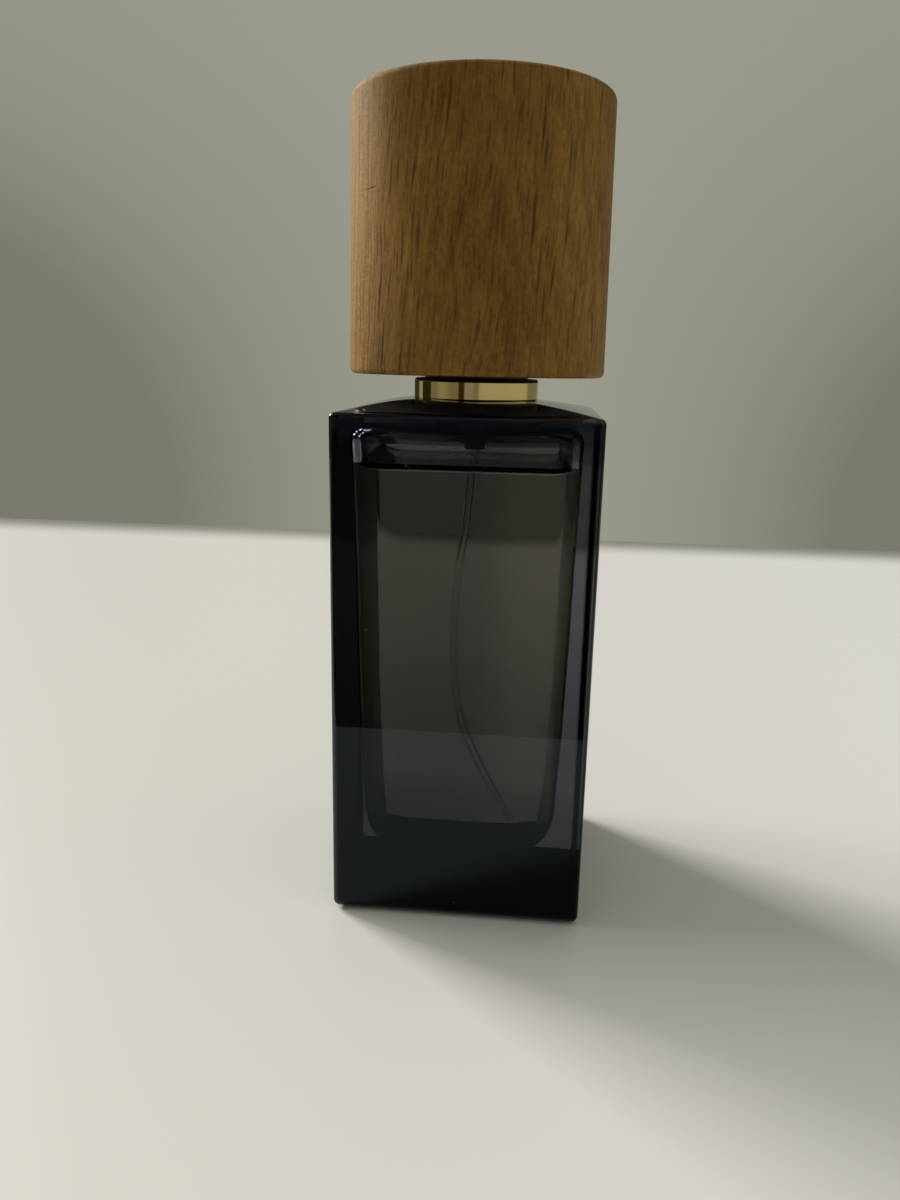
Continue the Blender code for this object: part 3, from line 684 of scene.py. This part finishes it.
def drilled(bm, tools):
    """The mesh with round holes cut through it along Y."""
    mesh = bpy.data.meshes.new("blank")
    bmesh.ops.remove_doubles(bm, verts=bm.verts, dist=2e-8)
    bmesh.ops.recalc_face_normals(bm, faces=bm.faces)
    if bm.calc_volume(signed=True) < 0:
        bmesh.ops.reverse_faces(bm, faces=bm.faces)
    bm.to_mesh(mesh)
    bm.free()
    blank = bpy.data.objects.new("blank", mesh)
    bpy.context.scene.collection.objects.link(blank)
    cutters = []
    for tool in tools:
        cm = bpy.data.meshes.new("drill")
        tool.to_mesh(cm)
        tool.free()
        drill = bpy.data.objects.new("drill", cm)
        bpy.context.scene.collection.objects.link(drill)
        cut = blank.modifiers.new("cut", "BOOLEAN")
        cut.operation, cut.solver, cut.object = "DIFFERENCE", "EXACT", drill
        cutters.append(drill)
    bpy.context.view_layer.update()
    done = blank.evaluated_get(bpy.context.evaluated_depsgraph_get())
    result = bmesh.new()
    result.from_mesh(done.to_mesh())
    done.to_mesh_clear()
    for ob in [blank, *cutters]:
        data = ob.data
        bpy.data.objects.remove(ob, do_unlink=True)
        bpy.data.meshes.remove(data)
    return result


# ================================================================ bottle
HALF, EDGE_R, HEEL_R = 20.0, 0.8, 1.5
SHOULDER_Z, SHOULDER_R, DOME_RISE = 80.25, 0.9, 1.80
NECK_R, BEAD_R, BORE_R, NECK_TOP = 6.2, 7.0, 4.5, 93.0
IN_HALF, IN_CORNER, FLOOR_Z, BOWL_R = 16.25, 4.0, 7.0, 11.0
LEVEL, CLIMB, REACH, SOAK = 71.45, 1.45, 1.35, 0.04


def inside_half(z):
    return IN_HALF + 0.026 * (z - 46.0)


def ease(z, low, high):
    s = min(1.0, max(0.0, (z - low) / (high - low)))
    return s * s * (3 - 2 * s)


def inside_across(z):
    """Half width and sideways shift of the inside, which the plunger left a little uneven."""
    left = inside_half(z) + 0.08 + 0.40 * ease(z, 18.0, 32.0) + 0.003 * max(0.0, z - 68.0) ** 2
    right = inside_half(z) + 0.25 * ease(z, 20.0, 32.0) - 0.15 * ease(z, 44.0, 60.0) + 0.002 * max(0.0, z - 70.0) ** 2
    return (left + right) / 2, (right - left) / 2


def inside_wall(outset, top_z, steps):
    """Sections of the inside from a height down its walls and round the bowl to the floor."""
    sections = []
    low = FLOOR_Z + BOWL_R - BOWL_R * math.sin(math.radians(8.0)) + 1.2
    for k in range(steps + 1):
        z = top_z + (low - top_z) * k / steps
        wide, shift = inside_across(z)
        sections.append((inside_half(z) + outset, IN_CORNER + outset, z, wide + outset, shift))
    centre_z = FLOOR_Z + BOWL_R
    centre_h = inside_half(centre_z) - BOWL_R
    wide, shift = inside_across(centre_z)
    for k in range(42):
        deg = 8.0 + 2.0 * k
        a = math.radians(deg)
        reach = BOWL_R + outset
        half = centre_h + reach * math.cos(a)
        left, right = (wide + side * shift - BOWL_R + reach * max(0.0, math.cos(a)) ** power
                       for side, power in ((-1, 0.45), (1, 0.80)))
        share = max(0.0, (half - centre_h) / BOWL_R)
        sections.append((half, (IN_CORNER + outset) * (0.75 + 0.25 * share),
                         centre_z - reach * math.sin(a), (left + right) / 2, (right - left) / 2))
    return [ring(h, c, z, wavy=1.0, half_x=w, shift=x) for h, c, z, w, x in sections]


rings = [ring(h, max(0.3, h * 0.08), z) for h, z in ((4.0, 0.42), (10.0, 0.38), (15.0, 0.30),
                                                     (17.2, 0.14), (17.9, 0.02))]
rings.append(ring(18.2, 0.25, 0.0))
for k in range(9):
    a = math.radians(90.0 * k / 8)
    inset = HEEL_R * (1 - math.sin(a))
    rings.append(ring(HALF - inset, max(0.25, EDGE_R - inset), HEEL_R * (1 - math.cos(a))))
for z in (14.0, 27.0, 40.0, 53.0, 66.0):
    rings.append(ring(HALF, EDGE_R, z))
for k in range(9):
    a = math.radians(80.0 * k / 8)
    inset = SHOULDER_R * (1 - math.cos(a))
    rings.append(ring(HALF - inset, max(0.5, EDGE_R - inset),
                      SHOULDER_Z - SHOULDER_R * (1 - math.sin(a)) ))
edge_half = HALF - SHOULDER_R * (1 - math.cos(math.radians(80.0)))
edge_z = SHOULDER_Z - SHOULDER_R * (1 - math.sin(math.radians(80.0)))
for k in range(1, 13):
    s = k / 12
    half = edge_half + (NECK_R + 1.0 - edge_half) * s
    rings.append(ring(half, EDGE_R * (1 - s) + 0.6, edge_z + DOME_RISE * math.sin(math.pi * s / 2),
                      s ** 1.3, half, tilt=0.28 * math.sin(math.pi * s)))
for r, z in arc(NECK_R + 1.0, edge_z + DOME_RISE + 1.0, 1.0, 270.0, 180.0, 6)[1:]:
    rings.append(ring(r, r, z, 1.0, r))
for r, z in ([(NECK_R, 89.0)] + [(NECK_R + 0.25, 89.25), (BEAD_R - 0.12, 89.7), (BEAD_R, 90.0)]
             + arc(BEAD_R - 0.6, NECK_TOP - 0.6, 0.6, 0.0, 90.0, 5)
             + arc(BORE_R + 0.4, NECK_TOP - 0.4, 0.4, 90.0, 180.0, 4)):
    rings.append(ring(r, r, z, 1.0, r))
inner_from = len(rings) - 1
CEILING_Z, WALL_TOP, CORNER_LIFT = 79.1, 75.75, 1.0
for r, z in [(BORE_R, 81.4)] + arc(BORE_R + 1.4, CEILING_Z + 1.4, 1.4, 180.0, 262.0, 7):
    rings.append(ring(r, r, z, 1.0, r))
ceiling_r, ceiling_z, fillet = BORE_R + 1.25, CEILING_Z, 2.2
wall_half, (wall_wide, wall_shift) = inside_half(WALL_TOP), inside_across(WALL_TOP)
drop = ceiling_z - (WALL_TOP + fillet)
for k in range(1, 11):
    s = k / 10
    half = ceiling_r + (wall_half - fillet - ceiling_r) * s
    wide = ceiling_r + (wall_wide - fillet - ceiling_r) * s
    rings.append(ring(half, half + (IN_CORNER + 1.5 - half) * s, ceiling_z - drop * s ** 1.4,
                      (1 - s) ** 1.1, half, lift=CORNER_LIFT * s ** 2 * 0.9, half_x=wide,
                      shift=wall_shift * s))
for k in range(1, 11):
    a = math.radians(90.0 - 90.0 * k / 10)
    half = wall_half - fillet + fillet * math.cos(a)
    rings.append(ring(half, IN_CORNER + 0.4 * math.sin(a), WALL_TOP + fillet * math.sin(a),
                      wavy=math.cos(a), lift=CORNER_LIFT * (1 - 0.1 * math.sin(a)),
                      half_x=half + wall_wide - wall_half, shift=wall_shift))
for k in range(1, 5):
    z = WALL_TOP + (LEVEL + CLIMB - WALL_TOP) * k / 5
    wide, shift = inside_across(z)
    rings.append(ring(inside_half(z), IN_CORNER, z, wavy=1.0, lift=CORNER_LIFT * (1 - k / 5),
                      half_x=wide, shift=shift))
wet_from = len(rings)
rings += inside_wall(0.0, LEVEL + CLIMB, 22)
piece("glass_bottle_fine", loft(rings, (0, 0, 0.43), (0, 0, FLOOR_Z + 0.02), (inner_from, wet_from)),
      [GLASS_OUT, GLASS_IN, GLASS_WET], "bottle", "glass_bottle", 60.0)

# ---------------------------------------------------------------- liquid
rings = []
for depth in (12.0, 8.0, 5.0, 3.6, 2.6, 1.9, 1.4, 1.0, 0.7, 0.45, 0.25, 0.1):
    z = LEVEL + CLIMB * math.exp(-depth / REACH)
    wide, shift = inside_across(z)
    rings.append(ring(inside_half(z) - depth, max(0.8, IN_CORNER - 0.5 * depth), z, wavy=1.0,
                      half_x=wide - depth, shift=shift))
side_from = len(rings)
rings += inside_wall(SOAK, LEVEL + CLIMB, 22)
piece("aftershave_liquid_fine", loft(rings, (0, 0, LEVEL), (0, 0, FLOOR_Z - SOAK), (side_from,)),
      [LIQUID, LIQUID_SIDE], "bottle", "aftershave_liquid", 60.0)

# ---------------------------------------------------------------- dip tube
TUBE_KNOTS = [
    (0.0, 0.0, 75.1), (0.05, 0.0, 72.6), (-0.7, 0.0, 62.8), (-1.7, 0.0, 54.5),
    (-2.25, 0.0, 46.0), (-1.95, 0.0, 35.6), (-0.4, 0.0, 28.0), (2.4, 0.0, 21.3),
    (5.5, 0.0, 15.6), (8.2, 0.0, 11.2),
]
piece("dip_tube_fine", pipe(smooth_path(TUBE_KNOTS, 10), 0.65, 0.4, 24), TUBE, "bottle",
      "dip_tube", 60.0, weighted=False)

# ================================================================ pump
piece("pump_housing_fine", turned(softened([
    (6.9, 93.98), (6.9, 94.8), (4.65, 94.8), (4.65, 94.4), (3.0, 94.4), (3.0, 91.8),
    (2.6, 91.8), (2.6, 82.4), (2.3, 82.1), (2.3, 79.0), (0.7, 79.0),
    (0.7, 78.4), (1.3, 78.4), (1.3, 76.6), (0.6, 75.9), (0.45, 75.75), (0.45, 75.4),
    (0.85, 75.4), (0.85, 73.7), (1.4, 73.7), (1.65, 73.95), (1.65, 76.0), (2.05, 76.3),
    (2.05, 77.6), (3.1, 78.6), (3.1, 81.4), (3.8, 82.0), (3.8, 93.98),
], 0.15), 64), NATURAL, "bottle", "pump_housing")

piece("check_ball_fine", turned([(0.0, 75.91)] + arc(0.0, 76.86, 0.95, -84, 84, 28)
                                + [(0.0, 77.81)], 40), STEEL, "inlet_valve", "check_ball",
      60.0)

main_spring = piece("main_spring_fine", coil(1.72, 0.2, 79.15, 85.62, 6.0, 36, 12), STEEL,
                    "bottle", "main_spring", 60.0)
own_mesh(main_spring)

piece("pump_stem_fine", drilled(turned(softened([
    (0.6, 105.0), (0.6, 86.95), (0.0, 86.95), (0.0, 85.3), (1.0, 85.3),
    (1.0, 85.8), (1.7, 85.8), (1.7, 86.3), (1.4, 86.55), (1.15, 86.55), (1.15, 90.9),
    (2.3, 90.9), (2.3, 91.65), (1.5, 91.65), (1.5, 104.75), (1.3, 105.0),
], 0.1, 2), 48), [rod_along_y(0.25, -2.2, 2.2, 87.25, 16)]), WHITE, "stem", "pump_stem")

piece("piston_fine", turned(softened([
    (1.3, 88.5), (1.3, 86.9), (1.45, 86.75), (1.95, 86.75), (2.1, 87.15), (2.3, 86.75),
    (2.45, 86.8), (2.4, 87.4), (2.2, 87.75), (2.4, 88.1), (2.45, 88.7), (2.3, 88.75),
    (2.05, 88.4), (1.6, 88.75), (1.4, 88.75),
], 0.06, 2), 48), NATURAL, "piston_body", "piston")

small_spring = piece("precompression_spring_fine", coil(1.75, 0.13, 88.95, 90.7, 3.5, 36, 12), STEEL,
                     "stem", "precompression_spring", 60.0)
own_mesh(small_spring)

piece("stem_seal_fine", turned(softened([(1.65, 92.45), (1.65, 91.95), (2.85, 91.95),
                                         (2.85, 92.45)], 0.12), 48), RUBBER, "bottle",
      "stem_seal")

piece("pump_turret_fine", turned(softened([
    (1.7, 96.5), (1.7, 92.6), (2.8, 92.6), (2.8, 94.5), (4.4, 94.5), (4.4, 94.8),
    (3.4, 94.8), (3.4, 96.3), (2.9, 96.8), (2.0, 96.8),
], 0.12), 64), WHITE, "bottle", "pump_turret")

piece("neck_gasket_fine", turned(softened([(4.75, 93.85), (4.75, 93.15), (6.85, 93.15),
                                           (6.85, 93.85)], 0.15), 64), RUBBER, "bottle",
      "neck_gasket")

piece("crimp_ferrule_fine", turned(softened([
    (7.2, 94.95), (7.2, 89.65), (6.62, 89.0), (6.55, 88.65), (6.75, 88.4), (7.1, 88.55),
    (7.55, 89.3), (7.55, 94.95), (7.15, 95.35), (3.75, 95.35), (3.75, 94.95),
], 0.25, 4), 96), ALUMINIUM, "bottle", "crimp_ferrule")

# ================================================================ collar
piece("collar_sleeve_fine", turned(softened([
    (7.8, 97.4), (7.8, 88.1), (7.35, 87.8), (7.35, 87.3), (7.8, 87.0),
    (7.8, 82.25), (9.2, 82.25), (9.38, 82.45), (9.38, 83.6), (9.2, 83.8),
    (8.3, 83.8), (8.3, 97.1), (8.05, 97.4),
], 0.12), 128), BLACK, "bottle", "collar_sleeve")

piece("collar_shell_fine", turned(
    softened([(8.6, 85.15), (8.6, 84.7), (9.37, 84.7), (9.62, 84.45), (9.62, 82.0), (9.92, 82.0),
              (10.02, 82.1)], 0.05, 2)
    + arc(9.42, 84.55, 0.6, 0, 90, 10), 144), GOLD, "bottle", "collar_shell")

# ================================================================ spray button
piece("actuator_core_fine", drilled(turned(softened([
    (0.5, 106.4), (0.5, 105.3), (1.7, 105.3), (1.7, 101.4), (1.9, 101.2),
    (2.9, 101.2), (2.9, 103.8), (4.9, 103.8), (4.9, 100.2), (6.0, 100.2), (6.0, 110.0),
    (0.0, 110.0), (0.0, 106.4),
], 0.15), 64), [rod_along_y(2.0, -7.5, -3.6, 106.4, 40), rod_along_y(0.35, -3.9, 0.1, 105.8, 16)]),
      BLACK, "button", "actuator_core")

piece("actuator_shell_fine", drilled(turned(
    [(0.0, 110.55), (0.0, 110.2), (5.9, 110.25), (6.2, 110.05), (6.3, 109.8), (6.3, 99.84),
     (6.34, 99.8), (6.62, 99.8), (6.7, 99.88)]
    + arc(6.1, 110.2, 0.6, 0, 90, 8) + [(5.2, 110.77), (4.0, 110.68), (2.0, 110.58)], 128),
    [rod_along_y(2.15, -8.0, -4.0, 106.4, 48)]), GOLD, "button", "actuator_shell")

nozzle = turned(softened([
    (0.2, 6.25), (0.2, 5.3), (0.8, 5.0), (0.8, 3.95), (1.65, 3.95), (1.8, 4.1),
    (1.8, 6.2), (1.6, 6.4), (1.1, 6.4), (0.7, 6.1), (0.45, 6.1), (0.3, 6.25),
], 0.06, 2), 48)
bmesh.ops.transform(nozzle, matrix=Matrix.Translation((0, 0, 106.4 * MM))
                    @ Matrix.Rotation(math.radians(90.0), 4, "X"), verts=nozzle.verts)
piece("nozzle_insert_fine", nozzle, BLACK, "button", "nozzle_insert")

# ================================================================ cap
piece("cap_wood_fine", turned(
    [(0.0, 118.0), (10.2, 118.0), (10.4, 117.8), (10.4, 86.1), (10.5, 85.85), (10.8, 85.6)]
    + arc(19.45, 86.4, 0.8, -90, 0, 6)
    + [(20.25 - 0.33 * (z - 86.4) / 38.9, z) for z in (95.0, 105.0, 115.0)]
    + arc(18.92, 125.3, 1.0, 0, 90, 10)
    + [(14.0, 126.3), (8.0, 126.3), (3.0, 126.3), (0.0, 126.3)], 160),
    OAK, "cap", "cap_wood_shell")


def ribbed(r, z, a):
    """Upright crush ribs on the liner's bore, which grip the collar sleeve."""
    if abs(r - 8.6) > 0.01 or z > 113.0:
        return r
    wave = math.cos(12 * a)
    return r - 0.16 * max(0.0, (wave - 0.86) / 0.14) ** 0.7


piece("cap_liner_fine", turned(
    [(0.0, 116.2), (8.0, 116.2), (8.3, 116.1), (8.52, 115.9), (8.6, 115.6), (8.6, 113.2),
     (8.6, 112.6), (8.6, 100.0), (8.6, 88.0), (8.6, 86.6), (8.75, 86.2), (9.0, 85.95),
     (9.1, 85.9), (10.0, 85.9), (10.1, 86.0), (10.1, 117.1), (10.0, 117.4), (9.8, 117.55),
     (9.6, 117.6), (0.0, 117.6)], 192, ribbed), BLACK, "cap", "cap_liner")


# ================================================================ stage, light and camera
def slab(name, x0, x1, y0, y1, z):
    mesh = bpy.data.meshes.new(name)
    mesh.from_pydata([(x0, y0, z), (x1, y0, z), (x1, y1, z), (x0, y1, z)], [], [(0, 1, 2, 3)])
    ob = bpy.data.objects.new(name, mesh)
    bpy.context.scene.collection.objects.link(ob)
    return ob


floor_mat, tree, shader, _ = new_material("pale_table")
far = add(tree, "ShaderNodeSeparateXYZ", {0: add(tree, "ShaderNodeTexCoord").outputs["Object"]}).outputs["Y"]
across = add(tree, "ShaderNodeSeparateXYZ", {0: add(tree, "ShaderNodeTexCoord").outputs["Object"]}).outputs["X"]
# painted light: the table is painted lighter towards the right
painted_light_side = blend(tree, step(tree, across, -0.06, 0.16), (0.795, 0.78, 0.745), (0.86, 0.855, 0.825))
wire(tree, blend(tree, step(tree, far, 0.290, 0.330), painted_light_side, (0.27, 0.265, 0.23)), shader.inputs["Base Color"])
shader.inputs["Roughness"].default_value = 0.42
shader.inputs["Specular IOR Level"].default_value = 0.35
table = slab("table", -0.75, 0.75, -0.099, 0.330, -0.0002)
table.data.materials.append(floor_mat)
apron = slab("table_front", -0.75, 0.75, -0.75, -0.099, -0.0002)
apron.data.materials.append(floor_mat)
apron.visible_glossy = False

world = bpy.data.worlds.new("soft_room")
bpy.context.scene.world = world
world.use_nodes = True
tree = world.node_tree
sky = tree.nodes["Background"]
way = add(tree, "ShaderNodeSeparateXYZ", {0: add(tree, "ShaderNodeTexCoord").outputs["Generated"]}).outputs
back = step(tree, way["Y"], -0.9, 0.9)
wall = blend(tree, step(tree, way["X"], -0.45, 0.45), (0.236, 0.230, 0.186), (0.292, 0.294, 0.230))
front = blend(tree, step(tree, way["X"], -0.5, 0.7), (0.19, 0.19, 0.18), (0.31, 0.31, 0.265))
seen = blend(tree, back, front, wall)
seen = blend(tree, step(tree, way["Z"], 0.30, 0.95), seen, (0.40, 0.395, 0.36))

# mirrors see tall panels and dark flags round the table, by bearing from the front
bearing = calc(tree, "MULTIPLY", calc(tree, "ARCTAN2", way["X"], calc(tree, "MULTIPLY", way["Y"], -1.0)),
               180.0 / math.pi)


def panel(under, left, right, colour, soft=3.0):
    there = calc(tree, "MULTIPLY", step(tree, bearing, left - soft, left + soft),
                 step(tree, bearing, right + soft, right - soft, 0.0, 1.0))
    return blend(tree, there, under, colour)


mirrored = panel((0.285, 0.28, 0.235), -158.0, -126.0, (0.035, 0.034, 0.03))
mirrored = panel(mirrored, -113.0, -86.0, (0.018, 0.017, 0.014), 2.0)
mirrored = panel(mirrored, -86.0, -29.0, (0.17, 0.15, 0.13), 4.0)
mirrored = panel(mirrored, -70.0, -50.0, (0.25, 0.225, 0.20), 8.0)
mirrored = panel(mirrored, -29.0, -16.5, (0.038, 0.017, 0.008), 2.0)
mirrored = panel(mirrored, -16.5, -1.0, (0.225, 0.21, 0.26))
mirrored = panel(mirrored, -1.0, 9.5, (0.165, 0.16, 0.16), 2.0)
mirrored = panel(mirrored, 9.5, 112.0, (0.355, 0.34, 0.31), 5.0)
mirrored = panel(mirrored, 112.0, 155.0, (0.175, 0.17, 0.14), 5.0)
low = calc(tree, "MULTIPLY", step(tree, way["Z"], -0.05, -0.09), step(tree, way["Y"], 0.0, -0.5))
mirrored = blend(tree, low, mirrored, (0.010, 0.010, 0.011))

# the wall behind is lit in a soft pool round the bottle
aside = calc(tree, "ADD", way["X"], 0.04)
fade = calc(tree, "MULTIPLY", calc(tree, "MULTIPLY", aside, aside), step(tree, way["Z"], 0.32, -0.16, 0.3, 3.8))
pool = vec(tree, "SCALE", (0.325, 0.325, 0.264), scale=calc(tree, "MAXIMUM", calc(tree, "SUBTRACT", 1.0, fade), 0.60))
backdrop = blend(tree, step(tree, way["Y"], 0.55, 0.85), seen, pool)
path = add(tree, "ShaderNodeLightPath")
lit = blend(tree, path.outputs["Is Camera Ray"], seen, backdrop)
wire(tree, blend(tree, path.outputs["Is Glossy Ray"], lit, mirrored), sky.inputs["Color"])
sky.inputs["Strength"].default_value = 1.0


def softbox(name, place, aim, width, height, power, colour):
    data = bpy.data.lights.new(name, "AREA")
    data.shape = "RECTANGLE"
    data.size, data.size_y = width, height
    data.energy = power
    data.color = colour
    ob = bpy.data.objects.new(name, data)
    bpy.context.scene.collection.objects.link(ob)
    ob.location = place
    ob.rotation_euler = (Vector(aim) - Vector(place)).to_track_quat("-Z", "Y").to_euler()
    return ob


for name, turn_deg, tilt_deg, width, power in (("window_light", 146.0, 27.0, 1.80, 292.0),
                                               ("window_light_side", 168.0, 55.0, 2.12, 81.0)):
    turn, tilt = math.radians(turn_deg), math.radians(tilt_deg)
    softbox(name, (6.0 * math.cos(tilt) * math.cos(turn), 6.0 * math.cos(tilt) * math.sin(turn),
                   6.0 * math.sin(tilt)), (0.0, 0.0, 0.03), width, 1.88, power, (1.0, 0.985, 0.955))

camera = bpy.data.cameras.new("camera")
camera.sensor_width = 36.0
camera.lens = 950.558 * 36.0 / 1200.0
camera.clip_start = 0.005
eye = bpy.data.objects.new("camera", camera)
bpy.context.scene.collection.objects.link(eye)
yaw, pitch, roll = -0.0946, 0.2461, -0.0208
forward = Vector((math.sin(yaw) * math.cos(pitch), math.cos(yaw) * math.cos(pitch),
                  -math.sin(pitch)))
right = Vector((math.cos(yaw), -math.sin(yaw), 0.0))
down = forward.cross(right)
right, down = (math.cos(roll) * right + math.sin(roll) * down,
               -math.sin(roll) * right + math.cos(roll) * down)
eye.matrix_world = Matrix((
    (right.x, -down.x, -forward.x, 0.01135),
    (right.y, -down.y, -forward.y, -0.15716),
    (right.z, -down.z, -forward.z, 0.08772),
    (0.0, 0.0, 0.0, 1.0)))
bpy.context.scene.camera = eye
bpy.context.scene.view_settings.view_transform = "Standard"
bpy.context.scene.cycles.use_denoising = True
